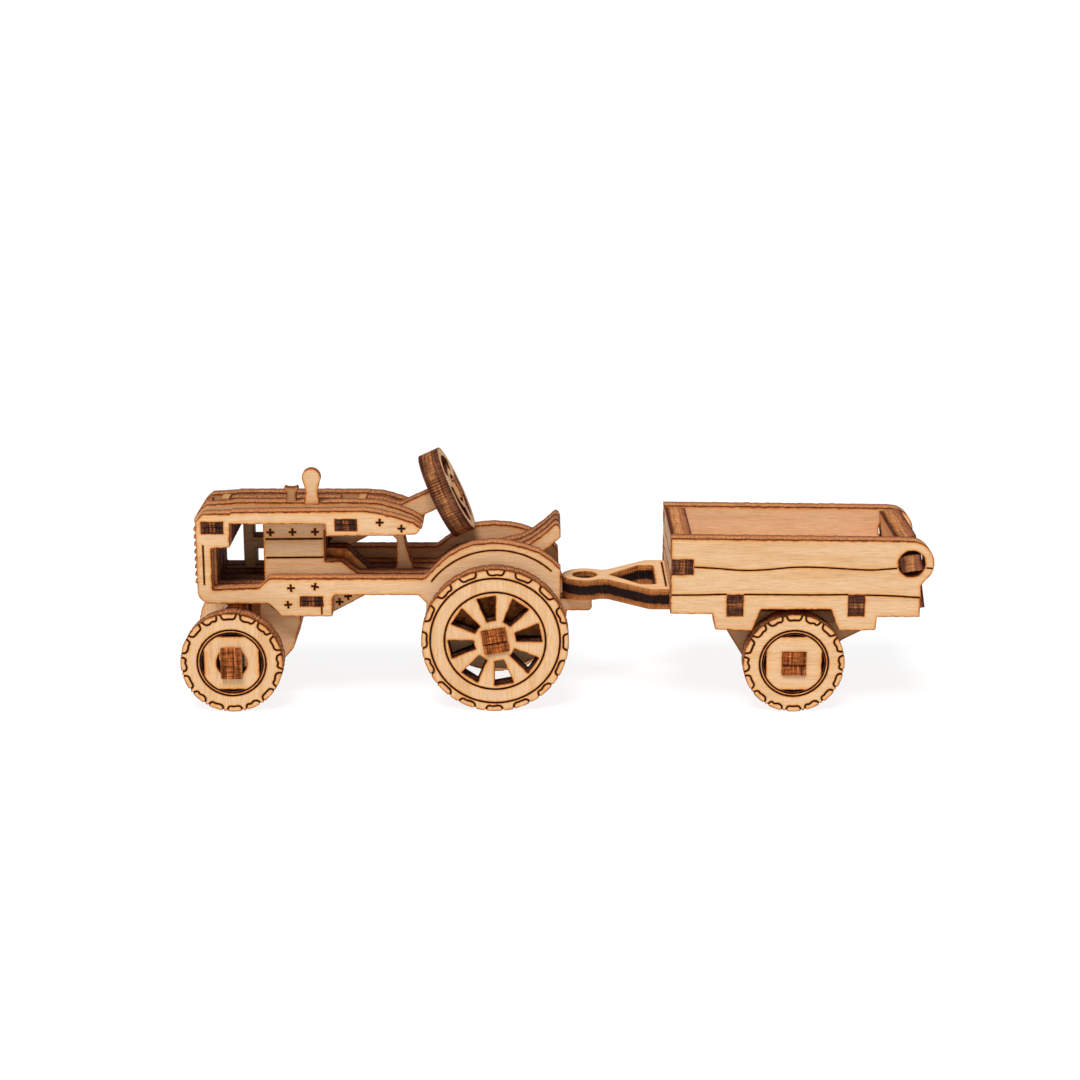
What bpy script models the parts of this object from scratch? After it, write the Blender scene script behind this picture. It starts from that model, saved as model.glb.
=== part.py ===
"""Toy tractor with a towed trailer, cut from 4 mm plywood and slotted together.

Frame: +Z up, ground at Z = 0, the tractor drives towards -X, +Y is its right-hand side.
The origin lies under the middle of the footprint. Drawings are in millimetres.
"""
import math

import bpy

MM = 0.001

# sheet and fits
PLY = 4.0
GAP = 0.3

# road wheels: centre X (from the drawing datum), radius, inner and outer face distance from the middle
FRONT_X = -59.5
FRONT_R = 9.9
REAR_X = -8.65
REAR_R = 14.25
TRAILER_X = 49.0
TRAILER_R = 9.8
FRONT_FACES = (10.65, 14.6)
REAR_FACES = (10.35, 14.3)
TRAILER_FACES = (10.7, 14.6)
FRONT_HOLE_R = 2.95
AXLE_SQUARE = 4.4
AXLE_HOLE_R = 3.4
REAR_KEY_TURN = 10.0

# laminated tractor body: sheet faces along Y
OUTER_Y = (6.15, 10.0)
INNER_Y = (2.15, 5.85)
CENTRE_Y = (-1.85, 1.85)

# steering wheel
STEER_X = -18.2
STEER_Z = 40.3
STEER_TILT = 25.0
STEER_R = 8.8
STEER_THICK = 4.1

# hitch and trailer
EYE_X = 8.84
EYE_R = 4.45
EYE_HOLE_R = 2.35
FLOOR_Z = (19.5, 23.5)
BED_HALF = 10.6
SIDE_Y = (10.9, 14.75)
TRAILER_REAR = 75.15
PIVOT_X = 70.85
PIVOT_Z = 29.8
PIVOT_HOLE_R = 2.6
GATE_TILT = 9.0

# the drawing datum sits ahead of the footprint's middle by this much
DATUM_X = -0.5 * ((FRONT_X - FRONT_R) + TRAILER_REAR)


def fillet(points):
    """Replace each corner given as (x, y, r) by an arc of radius r."""
    out = []
    count = len(points)
    for i, p in enumerate(points):
        if len(p) < 3:
            out.append((p[0], p[1]))
            continue
        a = points[i - 1]
        b = points[(i + 1) % count]
        ux, uy = a[0] - p[0], a[1] - p[1]
        vx, vy = b[0] - p[0], b[1] - p[1]
        lu = math.hypot(ux, uy)
        lv = math.hypot(vx, vy)
        ux, uy, vx, vy = ux / lu, uy / lu, vx / lv, vy / lv
        half = 0.5 * math.acos(max(-1.0, min(1.0, ux * vx + uy * vy)))
        cut = min(p[2] / math.tan(half), 0.48 * lu, 0.48 * lv)
        r = cut * math.tan(half)
        bx, by = ux + vx, uy + vy
        lb = math.hypot(bx, by)
        cx = p[0] + bx / lb * r / math.sin(half)
        cy = p[1] + by / lb * r / math.sin(half)
        a0 = math.atan2(p[1] + uy * cut - cy, p[0] + ux * cut - cx)
        a1 = math.atan2(p[1] + vy * cut - cy, p[0] + vx * cut - cx)
        turn = (a1 - a0 + math.pi) % (2 * math.pi) - math.pi
        steps = max(2, int(math.ceil(abs(turn) / math.radians(30))))
        for k in range(steps + 1):
            t = a0 + turn * k / steps
            out.append((cx + r * math.cos(t), cy + r * math.sin(t)))
    return out


def arc(cx, cy, r, start, end, steps):
    """Points along an arc, angles in degrees."""
    pts = []
    for k in range(steps + 1):
        t = math.radians(start + (end - start) * k / steps)
        pts.append((cx + r * math.cos(t), cy + r * math.sin(t)))
    return pts


def circle(cx, cy, r, steps):
    return arc(cx, cy, r, 0.0, 360.0, steps)[:-1]


def box_hole(x0, x1, y0, y1):
    return [(x0, y0), (x1, y0), (x1, y1), (x0, y1)]


def turned(points, degrees):
    """Rotate flat points about the origin."""
    c = math.cos(math.radians(degrees))
    s = math.sin(math.radians(degrees))
    return [(x * c - y * s, x * s + y * c) for x, y in points]


def wood(name, colour, roughness):
    mat = bpy.data.materials.new(name)
    mat.use_nodes = True
    bsdf = mat.node_tree.nodes["Principled BSDF"]
    bsdf.inputs["Base Color"].default_value = (*colour, 1.0)
    bsdf.inputs["Roughness"].default_value = roughness
    bsdf.inputs["Metallic"].default_value = 0.0
    return mat


def sheet(name, loops, thickness, mat, location, rotation, parent=None):
    """A flat closed outline (first loop) with holes (other loops), extruded by half its thickness."""
    curve = bpy.data.curves.new(name, "CURVE")
    curve.dimensions = "2D"
    curve.fill_mode = "BOTH"
    curve.extrude = 0.5 * thickness * MM
    for loop in loops:
        spline = curve.splines.new("POLY")
        spline.points.add(len(loop) - 1)
        for point, (x, y) in zip(spline.points, loop):
            point.co = (x * MM, y * MM, 0.0, 1.0)
        spline.use_cyclic_u = True
    curve.materials.append(mat)
    obj = bpy.data.objects.new(name, curve)
    obj.location = [c * MM for c in location]
    obj.rotation_euler = [math.radians(a) for a in rotation]
    if parent is not None:
        obj.parent = parent
    toy.objects.link(obj)
    return obj


def side_sheet(name, loops, y0, y1, mat, pivot=(0.0, 0.0), parent=None):
    """A sheet standing in the XZ plane between y0 and y1; pivot is its origin on the drawing."""
    moved = [[(x - pivot[0], z - pivot[1]) for x, z in loop] for loop in loops]
    if parent is None:
        where = (pivot[0] + DATUM_X, 0.5 * (y0 + y1), pivot[1])
    else:
        where = (0.0, 0.5 * (y0 + y1), 0.0)
    return sheet(name, moved, y1 - y0, mat, where, (90, 0, 0), parent)


def cross_sheet(name, loops, x0, x1, mat, pivot_z=0.0, parent=None, offset=0.0):
    """A sheet standing in the YZ plane between x0 and x1."""
    moved = [[(y, z - pivot_z) for y, z in loop] for loop in loops]
    if parent is None:
        where = (0.5 * (x0 + x1) + DATUM_X, 0.0, pivot_z)
    else:
        where = (offset, 0.0, 0.0)
    return sheet(name, moved, x1 - x0, mat, where, (90, 0, 90), parent)


def pivot_empty(name, x, z, turn=0.0, y=0.0):
    """An empty on a joint's axis, tipped about Y by turn degrees."""
    empty = bpy.data.objects.new(name, None)
    empty.empty_display_size = 0.004
    empty.location = ((x + DATUM_X) * MM, y * MM, z * MM)
    empty.rotation_euler = (0.0, math.radians(turn), 0.0)
    toy.objects.link(empty)
    return empty


def mirrored(points):
    """Complete a half outline (y >= 0 side, first to last) by its mirror image in y."""
    return points + [(x, -y) for x, y in reversed(points)]


# ---------------------------------------------------------------------------------- outlines
FENDER = [(-22.65, 25.4), (-22.1, 25.6), (-20.0, 27.8), (-17.6, 30.0), (-15.3, 31.3), (-12.9, 32.2),
          (-9.2, 32.6), (-5.95, 32.3), (-3.6, 31.8), (-0.1, 30.6), (2.2, 29.0), (4.0, 27.2)]

# the hidden lower lobe round the rear axle, from the back edge down and forwards
FENDER_RIGHT = [(-17.6, 29.7), (-15.3, 30.85), (-12.9, 31.7), (-9.2, 32.05), (-5.95, 31.8), (-3.6, 31.3),
                (-0.1, 30.1), (2.0, 28.6), (3.6, 26.8)]

REAR_LOBE = [(3.9, 17.2), (3.3, 13.6), (1.2, 10.9), (-1.8, 9.0), (-5.2, 7.4), (-11.9, 7.3),
             (-14.6, 8.2), (-18.0, 10.0), (-20.8, 12.9), (-22.1, 16.5), (-22.0, 20.6), (-23.6, 22.2)]

HOOD_SIDE = [(-59.6, 38.3), (-59.3, 38.6), (-46.0, 38.75), (-33.8, 38.9), (-31.1, 38.5), (-27.6, 37.6),
             (-24.4, 36.6), (-22.8, 35.45, 0.5), (-23.8, 34.35, 0.5), (-27.9, 34.1)]

# the far cheek's hood line is a little lower
HOOD_RIGHT = [(-60.0, 38.0), (-33.8, 38.0), (-31.1, 37.6), (-27.8, 36.7), (-24.8, 35.9),
              (-23.4, 35.1, 0.5), (-24.0, 34.35, 0.5), (-27.9, 34.1)]

HOOD_TOP = [(-64.7, 39.1), (-59.7, 39.42), (-59.3, 39.55), (-34.3, 39.55), (-30.85, 39.3), (-27.4, 38.3),
            (-24.8, 37.25), (-23.5, 36.5), (-22.6, 35.5, 0.4), (-22.9, 34.4, 0.4), (-27.9, 34.1)]

# The inner sheets' nose above the grille: it stands a little proud of the cheeks
INNER_NOSE = [(-66.2, 35.1), (-66.95, 35.6, 0.3), (-66.95, 36.5, 0.4), (-66.3, 37.6), (-65.6, 38.4)]

UNDERSIDE = [(-40.2, 22.2, 0.8), (-40.3, 17.9), (-50.0, 17.9), (-50.95, 18.8), (-52.9, 20.5),
             (-66.2, 20.5, 2.4)]


def outer_left():
    """Left cheek: nose, hood, rail and fender in one C-shaped sheet."""
    line = [(-66.2, 36.7, 0.8), (-64.9, 38.25, 1.4)] + HOOD_SIDE
    line += [(-41.2, 34.0), (-41.2, 36.4), (-59.6, 36.4), (-59.75, 31.7), (-63.35, 31.6, 0.3)]
    line += [(-63.4, 23.2, 0.3), (-54.4, 23.5, 1.2), (-52.4, 25.4)]
    line += FENDER + REAR_LOBE + UNDERSIDE
    return fillet(line)


def outer_right():
    """Right cheek: as the left one, with a taller rail and an engine side between rail and hood."""
    line = [(-66.2, 36.7, 0.6), (-65.4, 37.9, 0.6)] + HOOD_RIGHT
    line += [(-38.0, 34.0, 1.0), (-41.2, 31.4), (-41.2, 27.45), (-20.6, 27.45)]
    line += FENDER_RIGHT + REAR_LOBE + UNDERSIDE
    return fillet(line)


def nose_window(right, left=-62.8, sill=23.25):
    """The window behind the grille; its edges differ between sheets."""
    return fillet([(right, 36.4), (-59.6, 36.4), (-59.75, 31.7), (left, 31.6, 0.3), (left, sill, 0.3),
                   (right, sill)])


SEAT = [(-20.6, 25.3), (-16.8, 28.0), (-13.0, 29.0), (-8.0, 29.3), (-3.9, 30.3), (-1.65, 31.44),
        (1.02, 33.44), (2.45, 34.85), (3.1, 35.3, 0.3), (3.65, 34.95, 0.3), (4.0, 34.2), (4.0, 32.75),
        (2.8, 31.67), (0.87, 30.05), (-0.6, 28.9), (-0.6, 24.6, 0.6), (3.7, 24.2)]

INNER_LOBE = [(3.7, 17.2), (3.1, 13.7), (1.1, 11.1), (-1.8, 9.2), (-5.2, 7.6), (-11.9, 7.5),
              (-14.5, 8.4), (-17.9, 10.2), (-20.7, 13.0), (-22.1, 16.5), (-22.0, 20.6), (-23.6, 22.2)]

SUMP = [(-32.0, 22.2), (-40.5, 17.6), (-46.9, 17.6)]

CARRIER = [(-46.9, 15.4), (-47.4, 14.0), (-47.9, 11.9), (-48.4, 10.2), (-49.8, 8.6), (-51.3, 7.0)]

def exhaust_stack():
    """Round-headed post standing on the left inner sheet."""
    head = arc(-44.1, 44.62, 1.8, 205.0, -25.0, 12)
    return [(-45.5, 39.85), (-45.2, 41.9)] + head + [(-43.0, 41.9), (-42.75, 39.85)]


def filler_cap():
    """Small two-horned cap standing on the left inner sheet."""
    return [(-49.2, 39.85), (-49.05, 41.3), (-49.55, 41.9), (-49.45, 42.6), (-48.8, 42.35), (-47.6, 42.35),
            (-46.85, 42.6), (-46.75, 41.9), (-47.25, 41.3), (-47.3, 39.85)]


def grille_teeth():
    """Eight shallow bumps down the nose of an inner sheet, bottom to top."""
    pts = []
    for k in range(8):
        z = 23.2 + 1.5 * k
        pts += [(-66.1, z), (-67.2, z + 0.3), (-67.2, z + 0.9), (-66.1, z + 1.2)]
    return pts


def inner_left():
    line = grille_teeth() + INNER_NOSE + HOOD_TOP
    line += [(-41.9, 34.1), (-41.9, 27.8), (-38.6, 27.8), (-35.5, 25.35), (-22.7, 25.3)]
    line += SEAT + INNER_LOBE + SUMP + CARRIER
    line += [(-54.9, 7.0, 1.5), (-54.9, 20.6), (-66.0, 20.6, 2.2), (-66.1, 22.9)]
    return fillet(line)


def inner_right():
    line = grille_teeth() + INNER_NOSE + HOOD_TOP
    line += [(-29.6, 34.1), (-34.1, 30.8), (-38.3, 28.5), (-38.5, 27.8), (-35.5, 25.35), (-22.7, 25.3)]
    line += SEAT + INNER_LOBE + SUMP + CARRIER
    line += [(-54.9, 7.0, 1.5), (-54.9, 20.6), (-66.0, 20.6, 2.2), (-66.1, 22.9)]
    return fillet(line)


def centre():
    """Middle sheet: nose, engine, dashboard post with steering column, rail, seat and hitch tongue."""
    c = math.cos(math.radians(STEER_TILT))
    s = math.sin(math.radians(STEER_TILT))
    tip = 0.5 * STEER_THICK + 0.5

    def along(d, w):
        return (STEER_X + d * c - w * s, STEER_Z + d * s + w * c)

    line = grille_teeth() + INNER_NOSE[:4] + [(-65.75, 38.1), (-65.3, 38.1)]
    line += [(-65.3, 34.3), (-60.6, 34.3), (-60.6, 39.2), (-59.3, 39.45)]
    line += [(-39.55, 39.45), (-39.55, 34.9), (-34.95, 34.9), (-34.95, 39.45), (-34.3, 39.45)]
    line += [(-30.85, 39.1), (-29.0, 38.55), along(-9.2, 1.85), along(tip, 1.85), along(tip, -1.85)]
    line += [along(-5.0, -1.85)]
    line += [(-24.8, 35.0), (-26.7, 32.0), (-26.3, 30.0), (-24.9, 25.5), (-22.7, 25.3)]
    line += SEAT[:-1] + [(3.7, 24.2), (3.7, 19.2)]
    line += [(EYE_X - 1.0, 19.2), (EYE_X - 1.0, 21.8), (EYE_X + 1.0, 21.8), (EYE_X + 1.0, 19.2)]
    line += [(10.25, 19.2), (10.25, 16.7, 0.9), (3.7, 16.7)]
    line += INNER_LOBE[1:] + SUMP + CARRIER
    line += [(-54.0, 5.2), (-59.5, 4.2), (-63.0, 5.4), (-64.4, 8.5), (-64.0, 12.2, 0.6), (-61.85, 12.6, 0.3)]
    line += [(-61.85, 6.3), (-57.15, 6.3), (-57.15, 20.6), (-66.0, 20.6, 2.2), (-66.1, 22.9)]
    return fillet(line)


def dash_window():
    """Opening between the engine and the dashboard post in the centre sheet."""
    return fillet([(-41.9, 34.1), (-41.9, 29.5), (-38.0, 29.5), (-33.8, 25.4), (-28.4, 25.5), (-28.1, 26.4),
                   (-28.1, 31.2), (-28.9, 32.0, 0.6), (-29.2, 34.1)])


NOSE_SLOT = box_hole(-65.3, -60.7, 34.3, 36.9)
HOOD_SLOT = box_hole(-39.55, -34.95, 34.9, 37.5)
SUMP_SLOT = box_hole(-46.55, -41.95, 19.8, 22.05)


def axle_hole(x, z):
    return circle(x, z, AXLE_HOLE_R, 24)


def wheel_segments(radius, flat):
    """Four shallow circular segments cut through a wheel round its hub."""
    loops = []
    half = math.degrees(math.acos(flat / radius))
    for k in range(4):
        loops.append(arc(0.0, 0.0, radius, 90.0 * k - half, 90.0 * k + half, 6))
    return loops


def wheel_windows(r0, r1, w0, w1, count, first):
    """Radial trapezoid windows between radii r0 and r1."""
    loops = []
    for k in range(count):
        trapezoid = [(-0.5 * w0, r0), (0.5 * w0, r0), (0.5 * w1, r1), (-0.5 * w1, r1)]
        loops.append(turned(trapezoid, first + 360.0 * k / count))
    return loops


def square(side, turn):
    h = 0.5 * side
    return turned([(-h, -h), (h, -h), (h, h), (-h, h)], turn)


# ------------------------------------------------------------------------------------- scene
for old in list(bpy.data.objects):
    bpy.data.objects.remove(old, do_unlink=True)

toy = bpy.data.collections.new("toy tractor")
bpy.context.scene.collection.children.link(toy)

face = wood("birch_ply", (0.80, 0.56, 0.33), 0.62)
edge = wood("burnt_ply_end", (0.20, 0.085, 0.035), 0.7)

# tractor body
side_sheet("side_panel_left",
           [outer_left(), NOSE_SLOT, HOOD_SLOT, SUMP_SLOT, axle_hole(REAR_X, REAR_R)],
           -OUTER_Y[1], -OUTER_Y[0], face)
side_sheet("side_panel_right",
           [outer_right(), NOSE_SLOT, HOOD_SLOT, SUMP_SLOT, axle_hole(REAR_X, REAR_R),
            nose_window(-59.2, -63.15, 23.7), box_hole(-57.2, -50.0, 29.6, 36.3),
            box_hole(-56.8, -50.0, 23.7, 27.2)],
           OUTER_Y[0], OUTER_Y[1], face)
side_sheet("engine_board_left",
           [inner_left(), NOSE_SLOT, HOOD_SLOT, SUMP_SLOT, axle_hole(REAR_X, REAR_R), nose_window(-53.7)],
           -INNER_Y[1], -INNER_Y[0], face)
side_sheet("engine_board_right",
           [inner_right(), NOSE_SLOT, HOOD_SLOT, SUMP_SLOT, axle_hole(REAR_X, REAR_R), nose_window(-53.7)],
           INNER_Y[0], INNER_Y[1], face)
side_sheet("centre_board",
           [centre(), SUMP_SLOT, axle_hole(REAR_X, REAR_R), nose_window(-53.7), dash_window()],
           CENTRE_Y[0], CENTRE_Y[1], face)

# thin plates standing on the hood
side_sheet("exhaust_stack", [exhaust_stack()], -6.0, -4.75, face)
side_sheet("filler_cap", [filler_cap()], -4.6, -3.35, face)

# cross pieces whose ends show as dark tabs in the cheeks
def hump(base, top):
    """Cross piece outline: a flat bar with a raised middle that locks into the centre board's open slot."""
    return [(-10.0, base), (10.0, base), (10.0, base + 2.0), (1.7, base + 2.0), (1.7, top), (-1.7, top),
            (-1.7, base + 2.0), (-10.0, base + 2.0)]


cross_sheet("nose_crosspiece", [hump(34.6, 39.2)], -65.0, -60.95, edge, 35.6)
cross_sheet("hood_crosspiece", [hump(35.2, 39.4)], -39.25, -35.25, edge, 36.2)
cross_sheet("sump_crosspiece", [box_hole(-10.0, 10.0, 20.1, 21.75)], -46.25, -42.25, edge, 20.9)

# fixed front axle: a beam with a stem up to the nose and barbed ends outside the wheels
neck = 2.0
beam = 3.3
half_axle = [(10.35, FRONT_R - beam), (10.35, FRONT_R - neck), (14.9, FRONT_R - neck),
             (14.9, FRONT_R - beam), (15.7, FRONT_R - 2.5), (15.7, FRONT_R + 2.5), (14.9, FRONT_R + beam),
             (14.9, FRONT_R + neck), (10.35, FRONT_R + neck), (10.35, FRONT_R + beam),
             (4.0, FRONT_R + beam), (4.0, 20.25)]
axle_line = half_axle + [(-y, z) for y, z in reversed(half_axle)]
cross_sheet("front_axle", [axle_line], FRONT_X - 2.0, FRONT_X + 2.0, face, FRONT_R)

# front wheels turn on the axle's round-running necks
for side, tag in ((-1, "left"), (1, "right")):
    hub = pivot_empty("front_wheel_" + tag + "_pivot", FRONT_X, FRONT_R)
    lo, hi = sorted((side * FRONT_FACES[0], side * FRONT_FACES[1]))
    loops = [circle(0, 0, FRONT_R, 64), circle(0, 0, FRONT_HOLE_R, 32)] + wheel_segments(5.95, 5.35)
    side_sheet("front_wheel_" + tag, loops, lo, hi, face, parent=hub)

# rear wheels keyed on a square axle
rear = pivot_empty("rear_axle_pivot", REAR_X, REAR_R)
side_sheet("rear_axle", [square(AXLE_SQUARE, REAR_KEY_TURN)], -14.9, 14.9, face, parent=rear)
for side, tag in ((-1, "left"), (1, "right")):
    lo, hi = sorted((side * REAR_FACES[0], side * REAR_FACES[1]))
    loops = [circle(0, 0, REAR_R, 64), square(AXLE_SQUARE + 2 * GAP, REAR_KEY_TURN)]
    loops += wheel_windows(4.1, 8.85, 1.7, 3.75, 8, 11.0)
    side_sheet("rear_wheel_" + tag, loops, lo, hi, face, parent=rear)

# steering wheel on the column's end
steer = pivot_empty("steering_pivot", STEER_X, STEER_Z, -STEER_TILT)
loops = [circle(0, 0, STEER_R, 48), circle(0, 0, 2.85, 24)]
for k in range(3):
    mid = 90.0 + 120.0 * k
    loops.append(arc(0, 0, 6.9, mid - 48.0, mid + 48.0, 8) + arc(0, 0, 4.3, mid + 44.0, mid - 44.0, 6))
cross_sheet("steering_wheel", loops, -0.5 * STEER_THICK, 0.5 * STEER_THICK, face, parent=steer)

# trailer floor with its drawbar and eye
eye = arc(EYE_X, 0.0, EYE_R, 52.0, 308.0, 18)
tab = SIDE_Y[1]
upper = [(13.2, 3.5), (21.2, BED_HALF), (35.85, BED_HALF), (35.85, tab), (38.75, tab), (38.75, BED_HALF),
         (59.1, BED_HALF), (59.1, tab), (62.0, tab), (62.0, BED_HALF), (69.5, BED_HALF)]
outline = eye + [(x, -y) for x, y in upper] + [(x, y) for x, y in reversed(upper)]
triangle = fillet([(13.7, 0.0, 0.4), (19.7, -6.8, 0.8), (22.6, -6.8, 0.6), (22.6, 6.8, 0.6),
                   (19.7, 6.8, 0.8)])
floor_mid = 0.5 * (FLOOR_Z[0] + FLOOR_Z[1])
floor_loops = [outline, circle(EYE_X, 0.0, EYE_HOLE_R, 32), triangle]
hitch = pivot_empty("hitch_pivot", EYE_X, floor_mid)
sheet("trailer_floor", [[(x - EYE_X, y) for x, y in loop] for loop in floor_loops],
      FLOOR_Z[1] - FLOOR_Z[0], face, (0, 0, 0), (0, 0, 0), hitch)


def trailer_side():
    """Trailer cheek with tab slots, wheel arch, feet and the round end for the tailgate's pivot."""
    end = arc(PIVOT_X, PIVOT_Z, TRAILER_REAR - PIVOT_X, 90.0, -30.0, 8)
    line = [(25.0, 34.7), (69.0, 34.2)] + end
    line += [(73.3, 26.2), (72.8, 25.5), (72.8, 19.25), (64.6, 19.2), (64.45, 16.6, 0.5), (57.4, 16.5)]
    line += [(55.75, 20.75), (42.3, 20.75), (40.75, 16.5), (34.0, 16.8, 0.5), (33.2, 19.8), (25.0, 19.9)]
    line += [(25.0, 27.4), (29.45, 27.4), (29.45, 30.8), (25.0, 30.8)]
    return fillet(line)


side_loops = [trailer_side(), circle(PIVOT_X, PIVOT_Z, PIVOT_HOLE_R, 24),
              box_hole(35.55, 39.05, 19.2, 23.8), box_hole(58.8, 62.3, 19.2, 23.8)]
for side, tag in ((-1, "left"), (1, "right")):
    lo, hi = sorted((side * SIDE_Y[0], side * SIDE_Y[1]))
    side_sheet("trailer_side_" + tag, side_loops, lo, hi, face)

# front wall with one tab through each cheek
wall = [(BED_HALF, 23.8), (BED_HALF, 27.7), (tab, 27.7), (tab, 30.5), (BED_HALF, 30.5), (BED_HALF, 34.5)]
cross_sheet("trailer_front_wall", [wall + [(-y, z) for y, z in reversed(wall)]], 25.1, 29.15, face, 28.6)

# hangers under the floor that carry the trailer's axle
hanger = [(33.8, 19.2), (36.2, 15.3), (39.2, 10.35), (42.4, 6.8), (45.5, 4.9), (49.0, 4.5), (52.4, 5.3),
          (55.0, 7.5), (56.6, 10.8), (58.6, 13.2), (62.1, 15.0), (64.3, 16.2), (64.3, 19.2)]
for side, tag in ((-1, "left"), (1, "right")):
    lo, hi = sorted((side * 6.6, side * 10.35))
    side_sheet("axle_hanger_" + tag, [hanger, axle_hole(TRAILER_X, TRAILER_R)], lo, hi, face)

# trailer wheels keyed on a square axle
trail = pivot_empty("trailer_axle_pivot", TRAILER_X, TRAILER_R)
side_sheet("trailer_axle", [square(AXLE_SQUARE, 0.0)], -15.2, 15.2, face, parent=trail)
for side, tag in ((-1, "left"), (1, "right")):
    lo, hi = sorted((side * TRAILER_FACES[0], side * TRAILER_FACES[1]))
    loops = [circle(0, 0, TRAILER_R, 64), square(AXLE_SQUARE + 2 * GAP, 0.0)] + wheel_segments(6.0, 5.4)
    side_sheet("trailer_wheel_" + tag, loops, lo, hi, face, parent=trail)

# tailgate: hangs from two tenons in the cheeks' round ends
gate_pivot = pivot_empty("tailgate_pivot", PIVOT_X, PIVOT_Z, -GATE_TILT)
half_gate = [(BED_HALF, -10.3), (BED_HALF, -1.55), (14.6, -1.55), (14.6, 1.55), (BED_HALF, 1.55),
             (BED_HALF, 4.3)]
cross_sheet("tailgate", [half_gate + [(-y, z) for y, z in reversed(half_gate)]], -2.0, 2.0, face,
            parent=gate_pivot)
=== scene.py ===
"""Looks for the plywood toy tractor and trailer: every CAD sheet gets a detailed laser-cut copy."""

import math

import bpy
import numpy as np
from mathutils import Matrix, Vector
from mathutils.geometry import delaunay_2d_cdt


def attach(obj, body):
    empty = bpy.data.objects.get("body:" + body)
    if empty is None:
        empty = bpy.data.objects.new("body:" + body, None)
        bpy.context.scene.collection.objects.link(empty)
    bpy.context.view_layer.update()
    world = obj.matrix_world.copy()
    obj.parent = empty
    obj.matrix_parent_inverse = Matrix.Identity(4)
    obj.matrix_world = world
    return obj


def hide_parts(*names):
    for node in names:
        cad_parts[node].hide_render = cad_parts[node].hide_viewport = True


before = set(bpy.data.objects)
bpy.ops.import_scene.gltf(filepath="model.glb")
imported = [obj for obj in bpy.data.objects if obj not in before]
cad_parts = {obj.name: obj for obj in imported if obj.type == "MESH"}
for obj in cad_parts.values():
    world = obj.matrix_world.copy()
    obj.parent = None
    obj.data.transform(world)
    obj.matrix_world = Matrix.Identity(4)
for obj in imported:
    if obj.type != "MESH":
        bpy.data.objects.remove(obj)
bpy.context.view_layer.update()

MM = 0.001
D = -2.875               # drawing datum to row origin, mm
GRID = 1.5               # spacing of the points inside a sheet's face, mm
SHEET = 4.0              # plywood thickness that the ply bands are drawn for, mm
SCORCH = 0.23            # how far the scorch reaches into a face beside a cut, mm
LINE_SCORCH = 0.15       # the same beside an engraved line, mm

# ------------------------------------------------------------------ flat drawing helpers


def fillet(points):
    """Replace each corner given as (x, y, r) by an arc of radius r."""
    out = []
    count = len(points)
    for i, p in enumerate(points):
        if len(p) < 3:
            out.append((p[0], p[1]))
            continue
        a = points[i - 1]
        b = points[(i + 1) % count]
        ux, uy = a[0] - p[0], a[1] - p[1]
        vx, vy = b[0] - p[0], b[1] - p[1]
        lu = math.hypot(ux, uy)
        lv = math.hypot(vx, vy)
        ux, uy, vx, vy = ux / lu, uy / lu, vx / lv, vy / lv
        half = 0.5 * math.acos(max(-1.0, min(1.0, ux * vx + uy * vy)))
        cut = min(p[2] / math.tan(half), 0.48 * lu, 0.48 * lv)
        r = cut * math.tan(half)
        bx, by = ux + vx, uy + vy
        lb = math.hypot(bx, by)
        cx = p[0] + bx / lb * r / math.sin(half)
        cy = p[1] + by / lb * r / math.sin(half)
        a0 = math.atan2(p[1] + uy * cut - cy, p[0] + ux * cut - cx)
        a1 = math.atan2(p[1] + vy * cut - cy, p[0] + vx * cut - cx)
        turn = (a1 - a0 + math.pi) % (2 * math.pi) - math.pi
        steps = max(3, int(math.ceil(abs(turn) / math.radians(12))))
        for k in range(steps + 1):
            t = a0 + turn * k / steps
            out.append((cx + r * math.cos(t), cy + r * math.sin(t)))
    return out


def arc(cx, cy, r, start, end, steps):
    pts = []
    for k in range(steps + 1):
        t = math.radians(start + (end - start) * k / steps)
        pts.append((cx + r * math.cos(t), cy + r * math.sin(t)))
    return pts


def circle(cx, cy, r, steps):
    return arc(cx, cy, r, 0.0, 360.0, steps)[:-1]


def box_loop(x0, x1, y0, y1):
    return [(x0, y0), (x1, y0), (x1, y1), (x0, y1)]


def turned(points, degrees):
    c = math.cos(math.radians(degrees))
    s = math.sin(math.radians(degrees))
    return [(x * c - y * s, x * s + y * c) for x, y in points]


def smooth(points, rounds=2):
    """Chaikin-round an open polyline, keeping its ends."""
    pts = list(points)
    for _ in range(rounds):
        new = [pts[0]]
        for a, b in zip(pts[:-1], pts[1:]):
            new.append((0.75 * a[0] + 0.25 * b[0], 0.75 * a[1] + 0.25 * b[1]))
            new.append((0.25 * a[0] + 0.75 * b[0], 0.25 * a[1] + 0.75 * b[1]))
        new.append(pts[-1])
        pts = new
    return pts


def area(loop):
    a = np.array(loop)
    b = np.roll(a, -1, axis=0)
    return 0.5 * float(np.sum(a[:, 0] * b[:, 1] - b[:, 0] * a[:, 1]))


def offset_line(points, d, closed):
    """Points moved to the left of their direction by d, mitred and limited."""
    p = np.array(points, float)
    n = len(p)
    out = []
    for i in range(n):
        if closed:
            a, b = p[i - 1], p[(i + 1) % n]
        else:
            a, b = p[max(i - 1, 0)], p[min(i + 1, n - 1)]
        t0 = p[i] - a
        t1 = b - p[i]
        l0, l1 = np.hypot(*t0), np.hypot(*t1)
        if l0 < 1e-9:
            t0, l0 = t1, l1
        if l1 < 1e-9:
            t1, l1 = t0, l0
        n0 = np.array((-t0[1], t0[0])) / l0
        n1 = np.array((-t1[1], t1[0])) / l1
        m = n0 + n1
        lm = np.hypot(*m)
        if lm < 0.3:
            m = n1
            scale = 1.0
        else:
            m = m / lm
            scale = min(1.0 / max(float(m @ n1), 0.45), 2.0)
        out.append(tuple(p[i] + m * d * scale))
    return out


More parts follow.
